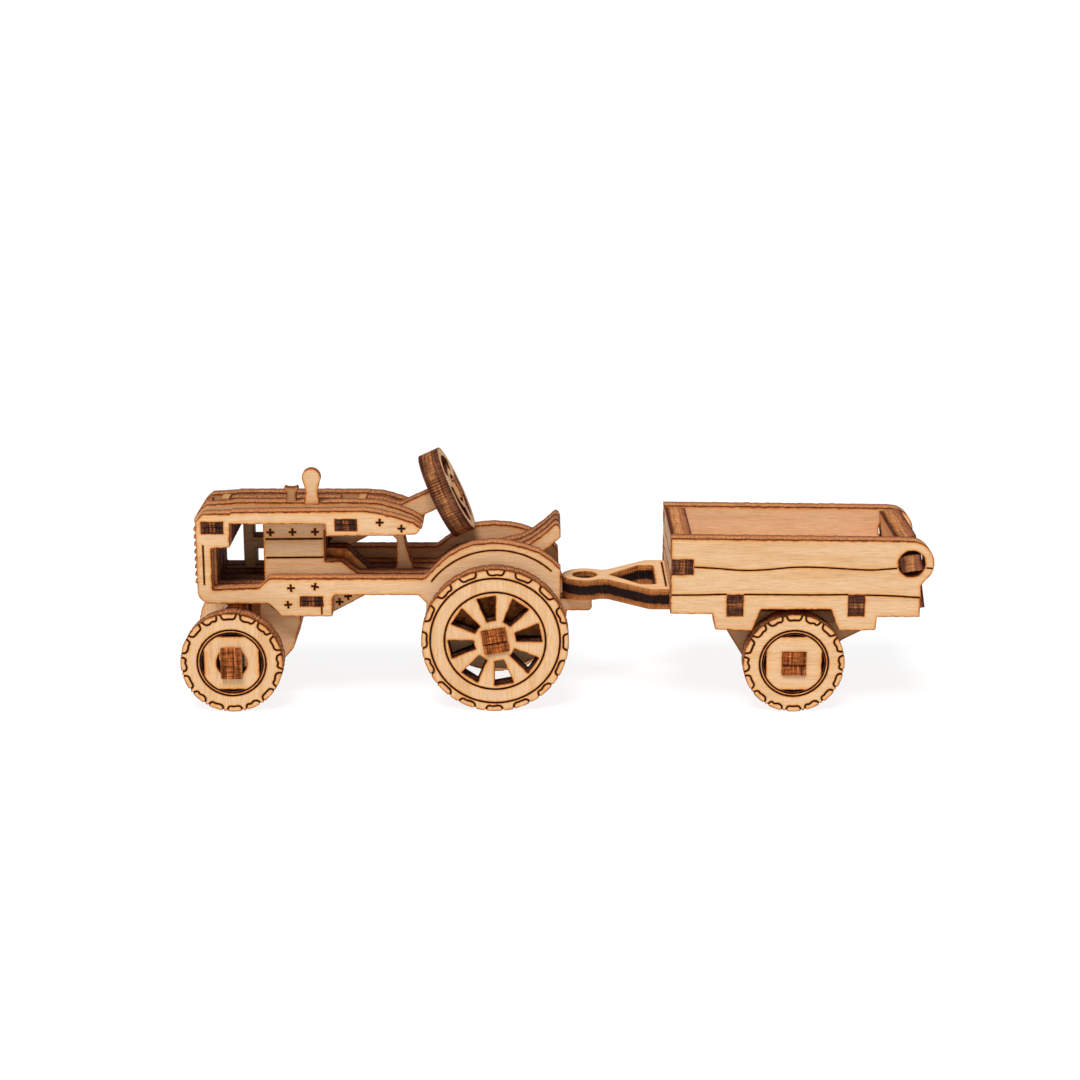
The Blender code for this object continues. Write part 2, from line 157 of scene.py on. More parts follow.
def ribbon(line, width, closed=False):
    """The outline of an engraved line: one loop, or two for a closed line."""
    left = offset_line(line, 0.5 * width, closed)
    right = offset_line(line, -0.5 * width, closed)
    if closed:
        return [left, right]
    return [left + right[::-1]]


def plus(cx, cy, size=1.5, width=0.4, tilt=0.0):
    """An engraved plus mark as one closed outline."""
    s, w = 0.5 * size, 0.5 * width
    pts = [(w, s), (-w, s), (-w, w), (-s, w), (-s, -w), (-w, -w), (-w, -s), (w, -s), (w, -w), (s, -w), (s, w),
           (w, w)]
    return [[(cx + x, cy + y) for x, y in turned(pts, tilt)]]


def inside(points, loops):
    """Even-odd test of many points against a group of loops."""
    p = np.asarray(points, float)
    hit = np.zeros(len(p), int)
    for loop in loops:
        a = np.array(loop, float)
        b = np.roll(a, -1, axis=0)
        y0, y1 = a[:, 1][None, :], b[:, 1][None, :]
        py = p[:, 1][:, None]
        cross = (y0 > py) != (y1 > py)
        dy = np.where(np.abs(y1 - y0) < 1e-12, 1e-12, y1 - y0)
        x = a[:, 0][None, :] + (py - y0) / dy * (b[:, 0][None, :] - a[:, 0][None, :])
        hit += np.sum(cross & (p[:, 0][:, None] < x), axis=1)
    return hit % 2 == 1


def reach(points, starts, ends):
    """Distance of each point to the nearest segment, and which segment that is."""
    p = np.asarray(points, float)[:, None, :]
    a = np.asarray(starts, float)[None, :, :]
    b = np.asarray(ends, float)[None, :, :]
    d = b - a
    t = np.clip(np.sum((p - a) * d, axis=2) / np.maximum(np.sum(d * d, axis=2), 1e-12), 0.0, 1.0)
    q = a + d * t[:, :, None]
    r = np.sqrt(np.sum((p - q) ** 2, axis=2))
    k = np.argmin(r, axis=1)
    return r[np.arange(len(k)), k], k


def wavy_cut(loop, size, seed):
    """A cut line that wanders by up to size mm, as a laser leaves it, with its corners kept."""
    out = []
    run = 3.7 * seed
    for i, p in enumerate(loop):
        q = loop[(i + 1) % len(loop)]
        dx, dy = q[0] - p[0], q[1] - p[1]
        length = math.hypot(dx, dy)
        steps = max(1, int(length / 0.55))
        for k in range(steps):
            f = k / steps
            s = run + f * length
            w = 0.5 * math.sin(2.9 * s) + 0.3 * math.sin(6.7 * s + 1.3) + 0.5 * math.sin(1.1 * s) ** 5
            w *= size
            w *= min(1.0, 4.0 * f * (1.0 - f)) if steps > 1 else 0.0
            out.append((p[0] + dx * f - dy / length * w, p[1] + dy * f + dx / length * w))
        run += length
    return out


def segments_of(loops):
    """Start and end points of every side of a group of loops."""
    starts = np.concatenate([np.array(l, float) for l in loops])
    ends = np.concatenate([np.roll(np.array(l, float), -1, axis=0) for l in loops])
    return starts, ends


# ------------------------------------------------------------------ materials


def new_material(name):
    mat = bpy.data.materials.new(name)
    mat.use_nodes = True
    tree = mat.node_tree
    return mat, tree, tree.nodes["Principled BSDF"]


def math_node(tree, op, a, b=None, c=None, clamp=False):
    n = tree.nodes.new("ShaderNodeMath")
    n.operation = op
    n.use_clamp = clamp
    for i, v in enumerate((a, b, c)):
        if v is None:
            continue
        if isinstance(v, (int, float)):
            n.inputs[i].default_value = v
        else:
            tree.links.new(v, n.inputs[i])
    return n.outputs[0]


def mix_colour(tree, fac, a, b, blend="MIX"):
    n = tree.nodes.new("ShaderNodeMix")
    n.data_type = "RGBA"
    n.blend_type = blend
    for socket, v in ((n.inputs[0], fac), (n.inputs[6], a), (n.inputs[7], b)):
        if isinstance(v, (int, float)):
            socket.default_value = v
        elif isinstance(v, tuple):
            socket.default_value = (*v, 1.0)
        else:
            tree.links.new(v, socket)
    return n.outputs[2]


def ramp(tree, fac, stops):
    n = tree.nodes.new("ShaderNodeValToRGB")
    el = n.color_ramp.elements
    while len(el) < len(stops):
        el.new(0.5)
    for e, (pos, col) in zip(el, stops):
        e.position = pos
        e.color = (*col, 1.0) if isinstance(col, tuple) else (col, col, col, 1.0)
    tree.links.new(fac, n.inputs[0])
    return n.outputs[0]


def coordinates(tree, sx, sy, sz=1.0):
    """The sheet's own drawing coordinates in millimetres, scaled along and across the grain."""
    uv = tree.nodes.new("ShaderNodeUVMap")
    uv.uv_map = "ply"
    m = tree.nodes.new("ShaderNodeMapping")
    m.inputs["Scale"].default_value = (sx, sy, sz)
    tree.links.new(uv.outputs[0], m.inputs["Vector"])
    return m.outputs[0]


def noise(tree, vector, scale=1.0, detail=4.0, rough=0.55, distortion=0.0):
    n = tree.nodes.new("ShaderNodeTexNoise")
    n.inputs["Scale"].default_value = scale
    n.inputs["Detail"].default_value = detail
    n.inputs["Roughness"].default_value = rough
    n.inputs["Distortion"].default_value = distortion
    tree.links.new(vector, n.inputs["Vector"])
    return n.outputs[0]


def attribute(tree, name):
    n = tree.nodes.new("ShaderNodeAttribute")
    n.attribute_name = name
    return n.outputs["Fac"]


def bump(tree, bsdf, height, strength, distance):
    n = tree.nodes.new("ShaderNodeBump")
    n.inputs["Strength"].default_value = strength
    n.inputs["Distance"].default_value = distance
    tree.links.new(height, n.inputs["Height"])
    tree.links.new(n.outputs[0], bsdf.inputs["Normal"])


def face_material():
    """Raw birch veneer: long fibres, faint colour bands, pores and a scorched rim beside each cut; each
    sheet's faces are darkened or paled by tone_and_shade, partly the board's own tone and partly painted
    light and shade, and painted shade patches ride on scorch_and_shade.
    """
    mat, t, bsdf = new_material("birch_face")
    fibre = noise(t, coordinates(t, 0.22, 4.6), 1.0, 7.0, 0.78)
    broad = noise(t, coordinates(t, 0.05, 0.55), 1.0, 3.0, 0.5, 0.6)
    pores = noise(t, coordinates(t, 0.9, 8.5), 1.0, 2.0, 0.5)
    tone_and_shade = attribute(t, "tone_and_shade")
    base = ramp(t, fibre, [(0.34, (0.60, 0.345, 0.165)), (0.47, (0.78, 0.492, 0.265)),
                           (0.56, (0.83, 0.540, 0.305)), (0.68, (0.90, 0.612, 0.368))])
    bands = ramp(t, broad, [(0.36, (0.94, 0.86, 0.76)), (0.52, (1.0, 0.99, 0.98)), (0.66, (1.0, 1.0, 1.0))])
    col = mix_colour(t, 1.0, base, bands, "MULTIPLY")
    dots = ramp(t, pores, [(0.27, 1.0), (0.36, 0.0)])
    col = mix_colour(t, math_node(t, "MULTIPLY", dots, 0.45), col, (0.47, 0.23, 0.09))
    # tone_and_shade mixes the board's own tone with painted light and shade: low values paint shaded sheets
    # darker, 1.0 paints a lit face paler and bluer.
    shade = ramp(t, tone_and_shade, [(0.0, (0.52, 0.42, 0.36)), (0.3, (0.80, 0.76, 0.74)), (0.5, (0.96, 0.96, 0.96)),
                           (1.0, (1.08, 1.10, 1.20))])
    col = mix_colour(t, 1.0, col, shade, "MULTIPLY")
    # scorch_and_shade holds the real scorch beside cuts and engraved lines together with the painted shade of
    # painted_shade_patch; the ramp below colours both the same way.
    scorch_and_shade = attribute(t, "scorch_and_shade")
    wobble = noise(t, coordinates(t, 0.7, 0.7), 1.0, 4.0, 0.65)
    scorch_and_shade_amount = math_node(t, "MULTIPLY", scorch_and_shade, math_node(t, "MULTIPLY_ADD", wobble, 2.2, -0.12), clamp=True)
    scorch_and_shade_tint = ramp(t, scorch_and_shade_amount, [(0.0, (1.0, 1.0, 1.0)), (0.18, (1.0, 0.87, 0.66)),
                            (0.42, (0.92, 0.60, 0.30)), (0.72, (0.62, 0.27, 0.10)),
                            (0.92, (0.26, 0.085, 0.04)), (1.0, (0.12, 0.04, 0.025))])
    col = mix_colour(t, 1.0, col, scorch_and_shade_tint, "MULTIPLY")
    t.links.new(col, bsdf.inputs["Base Color"])
    t.links.new(math_node(t, "MULTIPLY_ADD", fibre, 0.20, 0.55), bsdf.inputs["Roughness"])
    bsdf.inputs["Specular IOR Level"].default_value = 0.18
    height = math_node(t, "SUBTRACT", fibre, math_node(t, "MULTIPLY", dots, 0.5))
    bump(t, bsdf, height, 0.3, 0.00014)
    return mat


def edge_material():
    """Laser-cut edge: scorched plies with striations across the cut. A positive char darkens them, a negative
    one reddens them, and core blackens the middle ply."""
    mat, t, bsdf = new_material("laser_edge")
    uv = t.nodes.new("ShaderNodeUVMap")
    uv.uv_map = "ply"
    split = t.nodes.new("ShaderNodeSeparateXYZ")
    t.links.new(uv.outputs[0], split.inputs[0])
    wobble = noise(t, coordinates(t, 0.8, 0.5), 1.0, 3.0, 0.6)
    streak = noise(t, coordinates(t, 3.6, 0.35), 1.0, 4.0, 0.6)
    along = noise(t, coordinates(t, 0.16, 2.6), 1.0, 4.0, 0.6)
    speck = noise(t, coordinates(t, 5.0, 5.0), 1.0, 2.0, 0.5)
    char = attribute(t, "char")
    core = attribute(t, "core")
    depth = math_node(t, "ADD", split.outputs[1], math_node(t, "MULTIPLY_ADD", wobble, 0.7, -0.35))
    depth = math_node(t, "DIVIDE", depth, SHEET)
    light = ramp(t, depth, [(0.0, (0.070, 0.020, 0.012)), (0.14, (0.13, 0.037, 0.018)),
                            (0.22, (0.50, 0.175, 0.058)), (0.34, (0.74, 0.310, 0.110)),
                            (0.39, (0.46, 0.175, 0.065)), (0.45, (0.70, 0.300, 0.115)),
                            (0.62, (0.66, 0.270, 0.100)), (0.68, (0.38, 0.130, 0.055)),
                            (0.74, (0.56, 0.210, 0.080)), (0.90, (0.38, 0.120, 0.056)),
                            (0.96, (0.12, 0.036, 0.028)), (1.0, (0.07, 0.022, 0.018))])
    ember = ramp(t, depth, [(0.0, (0.40, 0.150, 0.045)), (0.08, (0.17, 0.040, 0.011)),
                            (0.28, (0.30, 0.075, 0.017)), (0.32, (0.50, 0.170, 0.050)),
                            (0.36, (0.20, 0.048, 0.012)), (0.50, (0.38, 0.100, 0.024)),
                            (0.64, (0.21, 0.050, 0.012)), (0.68, (0.48, 0.160, 0.046)),
                            (0.72, (0.28, 0.070, 0.016)), (0.92, (0.15, 0.035, 0.010)),
                            (1.0, (0.36, 0.130, 0.040))])
    burnt = ramp(t, depth, [(0.0, (0.160, 0.050, 0.020)), (0.12, (0.045, 0.016, 0.010)),
                            (0.31, (0.060, 0.020, 0.011)), (0.35, (0.012, 0.005, 0.005)),
                            (0.40, (0.200, 0.062, 0.020)), (0.48, (0.090, 0.030, 0.013)),
                            (0.60, (0.220, 0.066, 0.021)), (0.65, (0.012, 0.005, 0.005)),
                            (0.70, (0.058, 0.020, 0.011)), (0.88, (0.034, 0.013, 0.009)),
                            (1.0, (0.080, 0.026, 0.014))])
    col = mix_colour(t, math_node(t, "MULTIPLY", char, 1.0, clamp=True), light, burnt)
    col = mix_colour(t, math_node(t, "MULTIPLY", char, -1.0, clamp=True), col, ember)
    plies = ramp(t, depth, [(0.0, (0.42, 0.155, 0.042)), (0.10, (0.36, 0.125, 0.034)),
                            (0.23, (0.30, 0.098, 0.028)), (0.30, (0.020, 0.009, 0.008)),
                            (0.70, (0.016, 0.008, 0.007)), (0.77, (0.30, 0.098, 0.028)),
                            (0.92, (0.40, 0.145, 0.040)), (1.0, (0.50, 0.195, 0.055))])
    col = mix_colour(t, core, col, plies)
    strength = math_node(t, "MULTIPLY_ADD", math_node(t, "ABSOLUTE", char), 0.75, 0.25, clamp=True)
    lines = ramp(t, streak, [(0.36, 0.38), (0.49, 0.95), (0.62, 1.75)])
    col = mix_colour(t, strength, col, lines, "MULTIPLY")
    runs = ramp(t, along, [(0.36, 0.38), (0.50, 1.0), (0.64, 1.70)])
    col = mix_colour(t, strength, col, runs, "MULTIPLY")
    glint = ramp(t, speck, [(0.63, 0.0), (0.72, 1.0)])
    col = mix_colour(t, math_node(t, "MULTIPLY", glint, 0.16), col, (0.66, 0.30, 0.11))
    t.links.new(col, bsdf.inputs["Base Color"])
    t.links.new(math_node(t, "MULTIPLY_ADD", streak, 0.25, 0.60), bsdf.inputs["Roughness"])
    bsdf.inputs["Specular IOR Level"].default_value = 0.05
    bump(t, bsdf, streak, 0.5, 0.00025)
    return mat


def groove_material():
    """Bottom and walls of an engraved line."""
    mat, t, bsdf = new_material("engraving")
    n = noise(t, coordinates(t, 2.2, 2.2), 1.0, 3.0, 0.6)
    col = ramp(t, n, [(0.30, (0.010, 0.004, 0.003)), (0.55, (0.026, 0.010, 0.006)),
                      (0.75, (0.080, 0.028, 0.012))])
    t.links.new(col, bsdf.inputs["Base Color"])
    t.links.new(math_node(t, "MULTIPLY_ADD", n, 0.2, 0.65), bsdf.inputs["Roughness"])
    bsdf.inputs["Specular IOR Level"].default_value = 0.2
    bump(t, bsdf, n, 0.4, 0.0001)
    return mat


FACE = face_material()
EDGE = edge_material()
GROOVE = groove_material()

# ------------------------------------------------------------------ the sheet builder


class Plane:
    """Maps drawing coordinates (u, v) and thickness w, all in mm, to the row frame in metres."""

    def __init__(self, origin, u, v, w):
        self.o = Vector(origin)
        self.u, self.v, self.w = Vector(u), Vector(v), Vector(w)
        self.hand = 1 if self.u.cross(self.v).dot(self.w) > 0 else -1

    def at(self, u, v, w):
        return (self.o + self.u * u + self.v * v + self.w * w) * MM


SIDE = Plane((D, 0, 0), (1, 0, 0), (0, 0, 1), (0, 1, 0))
CROSS = Plane((D, 0, 0), (0, 1, 0), (0, 0, 1), (1, 0, 0))
FLAT = Plane((D, 0, 0), (1, 0, 0), (0, 1, 0), (0, 0, 1))


def face_net(loops, pockets, halo):
    """Triangulates one face of a sheet. Returns points, triangles, which triangles lie in an engraving,
    and the scorch value of each point."""
    coords = []
    links = []

    def add(line, closed=True):
        start = len(coords)
        coords.extend(line)
        n = len(line)
        for i in range(n if closed else n - 1):
            links.append((start + i, start + (i + 1) % n))

    for loop in loops:
        add(loop)
        for d in halo:
            add(offset_line(loop, d, True))
    groove_loops = [loop for group in pockets for loop in group]
    for loop in groove_loops:
        add(loop)
        for d in (-0.14, 0.14, -0.34, 0.34):
            add(offset_line(loop, d, True))
    starts, ends = segments_of(loops)
    cuts = segments_of(groove_loops) if groove_loops else None
    low = np.min(starts, axis=0)
    high = np.max(starts, axis=0)
    grid = []
    for j in range(int((high[1] - low[1]) / GRID) + 2):
        for i in range(int((high[0] - low[0]) / GRID) + 2):
            grid.append((low[0] + GRID * (i + 0.5 * (j % 2) + 0.11 * math.sin(7.3 * i + 3.1 * j)),
                         low[1] + GRID * (j + 0.11 * math.sin(5.9 * i - 2.3 * j))))
    grid = np.array(grid)
    grid = grid[inside(grid, loops)]
    if len(grid):
        grid = grid[reach(grid, starts, ends)[0] > 0.75]
    if len(grid) and cuts:
        grid = grid[reach(grid, *cuts)[0] > 0.5]
    coords.extend([tuple(g) for g in grid])
    res = delaunay_2d_cdt([Vector(c) for c in coords], links, [], 0, 1e-5)
    pts = np.array([(p.x, p.y) for p in res[0]])
    tris = np.array([tuple(f) for f in res[2]], int)
    mid = pts[tris].mean(axis=1)
    keep = inside(mid, loops)
    tris, mid = tris[keep], mid[keep]
    used, tris = np.unique(tris, return_inverse=True)
    pts, tris = pts[used], tris.reshape(-1, 3)
    a, b, c = pts[tris[:, 0]], pts[tris[:, 1]], pts[tris[:, 2]]
    twice = (b[:, 0] - a[:, 0]) * (c[:, 1] - a[:, 1]) - (b[:, 1] - a[:, 1]) * (c[:, 0] - a[:, 0])
    flip = twice < 0
    tris[flip] = tris[flip][:, ::-1]
    cut = np.zeros(len(tris), bool)
    for group in pockets:
        cut |= inside(mid, group)
    d, _ = reach(pts, starts, ends)
    scorch_and_shade = np.exp(-(d / SCORCH) ** 1.15)
    if cuts:
        d, _ = reach(pts, *cuts)
        scorch_and_shade = np.maximum(scorch_and_shade, 0.62 * np.exp(-(d / LINE_SCORCH) ** 1.3))
    return pts, tris, cut, scorch_and_shade


def sheet(name, loops, lo, hi, plane, body, replaces, near=(), far=(), grain="u", char=0.4, hole_char=0.75,
          core=0.0, tone_and_shade=0.5, wavy=0.0, tabs=None, painted_shade_patch=None, depth=0.28, halo=(0.08, 0.2, 0.4, 0.8),
          slot="birch_ply"):
    """A laser-cut sheet: faces with engravings, and banded edges. near engraves the lo face, far the hi face.
    char is how burnt the outline's cut edge is and hole_char the inner edges'; core blackens the middle ply;
    tone_and_shade is how pale the faces are, partly the board's own tone and partly painted light and shade
    for the sheet; tabs=(axis, limit, char) gives the tab ends beyond the limit a char of their own;
    painted_shade_patch=(u, v, radius, strength, lowest v) paints shade on a round patch of the faces, fading
    above lowest v, through the scorch_and_shade attribute; depth is that of the engraving and halo the
    distances of the rings of points that carry the scorch, in mm."""
    fixed = []
    if wavy:
        loops = [wavy_cut(loops[0], wavy, len(name))] + list(loops[1:])
    for i, loop in enumerate(loops):
        ccw = area(loop) > 0
        fixed.append(list(loop) if ccw == (i == 0) else list(loop)[::-1])
    loops = fixed
    starts, ends = segments_of(loops)
    run = np.cumsum(np.hypot(*(ends - starts).T)) - np.hypot(*(ends - starts).T)
    outer = np.arange(len(starts)) < len(loops[0])
    seed = sum(ord(ch) * (i + 3) for i, ch in enumerate(name)) % 97
    verts, faces, mats, uvs, scorch_and_shade_values, chars, cores = [], [], [], [], [], [], []
    mid_w = 0.5 * (lo + hi)

    def vertex(u, v, w, b, c=0.0):
        tab = tabs is not None and abs((u, v)[tabs[0]]) > tabs[1]
        verts.append(plane.at(u, v, w))
        scorch_and_shade_values.append(b)
        chars.append(tabs[2] if tab else c)
        cores.append(0.0 if tab else core)
        return len(verts) - 1

    def grain_uv(u, v):
        if grain == "u":
            return (u + seed * 7.3, v + seed * 3.1)
        return (v + seed * 7.3, u + seed * 3.1)

    for level, inward, pockets in ((lo, 1.0, near), (hi, -1.0, far)):
        pts, tris, cut, scorch_and_shade = face_net(loops, list(pockets), halo)
        # Painted shade: darken a round patch as a cast shadow would, fading towards its rim and below its
        # lowest v.
        if painted_shade_patch:
            away = np.hypot(pts[:, 0] - painted_shade_patch[0], pts[:, 1] - painted_shade_patch[1])
            above = np.clip((pts[:, 1] - painted_shade_patch[4]) / 2.5, 0.0, 1.0)
            scorch_and_shade = np.maximum(scorch_and_shade, painted_shade_patch[3] * above * np.clip((painted_shade_patch[2] - away) / 2.0, 0.0, 1.0))
        top = [vertex(p[0], p[1], level, b) for p, b in zip(pts, scorch_and_shade)]
        floor_w = level + inward * depth
        low = {}
        outward_ccw = (plane.hand > 0) == (inward < 0)
        for tri, is_cut in zip(tris, cut):
            ids = []
            for i in tri:
                if is_cut:
                    if i not in low:
                        low[i] = vertex(pts[i][0], pts[i][1], floor_w, 1.0)
                    ids.append(low[i])
                else:
                    ids.append(top[i])
            order = (0, 1, 2) if outward_ccw else (0, 2, 1)
            faces.append([ids[k] for k in order])
            mats.append(2 if is_cut else 0)
            uvs.append([grain_uv(*pts[tri[k]]) for k in order])
        side = {}
        for tri, is_cut in zip(tris, cut):
            for k in range(3):
                a, b = int(tri[k]), int(tri[(k + 1) % 3])
                side.setdefault((min(a, b), max(a, b)), []).append((a, b, bool(is_cut)))
        edge_list = [(v[0][0], v[0][1], v[0][2]) for v in side.values() if len(v) == 1]
        if edge_list:
            mids = np.array([(pts[a] + pts[b]) / 2 for a, b, _ in edge_list])
            _, seg = reach(mids, starts, ends)
        for (a, b, is_cut), k in zip(edge_list, seg if edge_list else []):
            w0 = floor_w if is_cut else level
            sa = float(run[k] + np.hypot(*(pts[a] - starts[k])))
            sb = float(run[k] + np.hypot(*(pts[b] - starts[k])))
            dark = char if outer[k] else hole_char
            ids = [vertex(pts[a][0], pts[a][1], w0, 0, dark), vertex(pts[b][0], pts[b][1], w0, 0, dark),
                   vertex(pts[b][0], pts[b][1], mid_w, 0, dark), vertex(pts[a][0], pts[a][1], mid_w, 0, dark)]
            coords = [(sa + seed, w0 - lo), (sb + seed, w0 - lo),
                      (sb + seed, mid_w - lo), (sa + seed, mid_w - lo)]
            scale = SHEET / (hi - lo)
            coords = [(s, w * scale) for s, w in coords]
            if (plane.hand > 0) != (inward > 0):
                ids, coords = ids[::-1], coords[::-1]
            faces.append(ids)
            mats.append(1)
            uvs.append(coords)
        for pair in side.values():
            if len(pair) == 2 and pair[0][2] != pair[1][2]:
                a, b, _ = pair[0] if pair[0][2] else pair[1]
                ids = [vertex(*pts[a], level, 1), vertex(*pts[b], level, 1), low[b], low[a]]
                coords = [grain_uv(*pts[a]), grain_uv(*pts[b]), grain_uv(*pts[b]), grain_uv(*pts[a])]
                if outward_ccw:
                    ids, coords = ids[::-1], coords[::-1]
                faces.append(ids)
                mats.append(2)
                uvs.append(coords)
    mesh = bpy.data.meshes.new(name)
    mesh.from_pydata([tuple(v) for v in verts], [], faces)
    for m in (FACE, EDGE, GROOVE):
        mesh.materials.append(m)
    mesh.polygons.foreach_set("material_index", mats)
    layer = mesh.uv_layers.new(name="ply")
    flat = [c for poly in uvs for pair in poly for c in pair]
    layer.data.foreach_set("uv", flat)
    for label, values in (("scorch_and_shade", scorch_and_shade_values), ("char", chars), ("tone_and_shade", [tone_and_shade] * len(verts)),
                          ("core", cores)):
        att = mesh.attributes.new(label, "FLOAT", "POINT")
        att.data.foreach_set("value", values)
    mesh.validate()
    mesh.update()
    obj = bpy.data.objects.new(name, mesh)
    bpy.context.scene.collection.objects.link(obj)
    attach(obj, body)
    if replaces:
        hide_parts(*replaces)
    return obj


# ------------------------------------------------------------------ outlines (side view, mm)
FRONT_X, FRONT_R = -59.5, 9.9        # wheel centres and radii; each wheel stands on the ground
REAR_X, REAR_R = -8.65, 14.25
CART_X, CART_R = 49.0, 9.8
STEER_X, STEER_Z, STEER_LEAN = -18.2, 40.3, 25.0
HITCH_X = 8.84
GATE_X, GATE_Z, GATE_LEAN = 70.85, 29.8, 9.0
TAB_START = 10.65                    # the tabs through the trailer's sides begin here, off the centre line
TREAD_BLOCKS = 16
FENDER = [(-22.65, 25.4), (-22.1, 25.6), (-20.0, 27.8), (-17.6, 30.0), (-15.3, 31.3), (-12.9, 32.2),
          (-9.2, 32.6), (-5.95, 32.3), (-3.6, 31.8), (-0.1, 30.6), (2.2, 29.0), (4.0, 27.2)]
FENDER_RIGHT = [(-17.6, 29.7), (-15.3, 30.85), (-12.9, 31.7), (-9.2, 32.05), (-5.95, 31.8), (-3.6, 31.3),
                (-0.1, 30.1), (2.0, 28.6), (3.6, 26.8)]
REAR_LOBE = [(3.9, 17.2), (3.3, 13.6), (1.2, 10.9), (-1.8, 9.0), (-5.2, 7.4, 1.0), (-11.9, 7.3, 1.5),
             (-14.6, 8.2), (-18.0, 10.0), (-20.8, 12.9), (-22.1, 16.5), (-22.0, 20.6), (-23.6, 22.2)]
HOOD_SIDE = [(-59.6, 38.3), (-59.3, 38.6), (-46.0, 38.75), (-33.8, 38.9), (-31.1, 38.5), (-27.6, 37.6),
             (-24.4, 36.6), (-22.8, 35.45, 0.5), (-23.8, 34.35, 0.5), (-27.9, 34.1)]
HOOD_RIGHT = [(-60.0, 38.0), (-33.8, 38.0), (-31.1, 37.6), (-27.8, 36.7), (-24.8, 35.9),
              (-23.4, 35.1, 0.5), (-24.0, 34.35, 0.5), (-27.9, 34.1)]
HOOD_TOP = [(-64.7, 39.1), (-59.7, 39.42), (-59.3, 39.55), (-34.3, 39.55), (-30.85, 39.3), (-27.4, 38.3),
            (-24.8, 37.25), (-23.5, 36.5), (-22.6, 35.5, 0.4), (-22.9, 34.4, 0.4), (-27.9, 34.1)]
INNER_NOSE = [(-66.2, 35.1), (-66.95, 35.6, 0.3), (-66.95, 36.5, 0.4), (-66.3, 37.6), (-65.6, 38.4)]
UNDERSIDE = [(-40.2, 22.2, 0.8), (-40.3, 17.9), (-50.0, 17.9), (-50.95, 18.8), (-52.9, 20.5),
             (-66.2, 20.5, 2.4)]
SEAT = [(-20.6, 25.3), (-16.8, 28.0), (-13.0, 29.0), (-8.0, 29.3), (-3.9, 30.3), (-1.65, 31.44),
        (1.02, 33.44), (2.45, 34.85), (3.1, 35.3, 0.3), (3.65, 34.95, 0.3), (4.0, 34.2), (4.0, 32.75),
        (2.8, 31.67), (0.87, 30.05), (-0.6, 28.9), (-0.6, 24.6, 0.6), (3.7, 24.2)]
INNER_LOBE = [(3.7, 17.2), (3.1, 13.7), (1.1, 11.1), (-1.8, 9.2), (-5.2, 7.6), (-11.9, 7.5),
              (-14.5, 8.4), (-17.9, 10.2), (-20.7, 13.0), (-22.1, 16.5), (-22.0, 20.6), (-23.6, 22.2)]
SUMP = [(-32.0, 22.2), (-40.5, 17.6), (-46.9, 17.6)]
CARRIER = [(-46.9, 15.4), (-47.4, 14.0), (-47.9, 11.9), (-48.4, 10.2), (-49.8, 8.6), (-51.3, 7.0)]


def outer_left():
    line = [(-66.2, 36.7, 0.8), (-64.9, 38.25, 1.4)] + HOOD_SIDE
    line += [(-41.2, 34.0), (-41.2, 36.4), (-59.6, 36.4), (-59.75, 31.7), (-63.35, 31.6, 0.3)]
    line += [(-63.4, 23.2, 0.3), (-54.4, 23.5, 1.2), (-52.4, 25.4)]
    line += FENDER + REAR_LOBE + UNDERSIDE
    return fillet(line)


def outer_right():
    line = [(-66.2, 36.7, 0.6), (-65.4, 37.9, 0.6)] + HOOD_RIGHT
    line += [(-38.0, 34.0, 1.0), (-41.2, 31.4), (-41.2, 27.45), (-20.6, 27.45)]
    line += FENDER_RIGHT + REAR_LOBE + UNDERSIDE
    return fillet(line)


def nose_window(right, left=-62.8, sill=23.25):
    return fillet([(right, 36.4), (-59.6, 36.4), (-59.75, 31.7), (left, 31.6, 0.3), (left, sill, 0.3),
                   (right, sill)])


def exhaust_stack():
    head = arc(-44.1, 44.62, 1.8, 205.0, -25.0, 24)
    return fillet([(-45.6, 39.3), (-45.2, 41.9, 0.8)] + head + [(-43.0, 41.9, 0.8), (-42.6, 39.3)])


def filler_cap():
    return fillet([(-49.25, 39.2), (-49.05, 41.3, 0.2), (-49.55, 41.9, 0.2), (-49.45, 42.65, 0.2),
                   (-48.8, 42.35, 0.2), (-47.6, 42.35, 0.2), (-46.85, 42.65, 0.2), (-46.75, 41.9, 0.2),
                   (-47.25, 41.3, 0.2), (-47.25, 39.2)])


def grille_teeth():
    pts = []
    for k in range(8):
        z = 23.2 + 1.5 * k
        pts += [(-66.1, z), (-67.2, z + 0.3, 0.2), (-67.2, z + 0.9, 0.2), (-66.1, z + 1.2)]
    return pts


def inner_left():
    line = grille_teeth() + INNER_NOSE + HOOD_TOP
    line += [(-41.9, 34.1), (-41.9, 27.8, 0.2), (-38.6, 27.8, 0.8), (-35.5, 25.35, 0.8), (-22.7, 25.3)]
    line += SEAT + INNER_LOBE + SUMP + CARRIER
    line += [(-54.9, 7.0, 1.5), (-54.9, 20.6), (-66.0, 20.6, 2.2), (-66.1, 22.9)]
    return fillet(line)


def inner_right():
    line = grille_teeth() + INNER_NOSE + HOOD_TOP
    line += [(-29.6, 34.1), (-34.1, 30.8), (-38.3, 28.5), (-38.5, 27.8), (-35.5, 25.35, 0.8), (-22.7, 25.3)]
    line += SEAT + INNER_LOBE + SUMP + CARRIER
    line += [(-54.9, 7.0, 1.5), (-54.9, 20.6), (-66.0, 20.6, 2.2), (-66.1, 22.9)]
    return fillet(line)


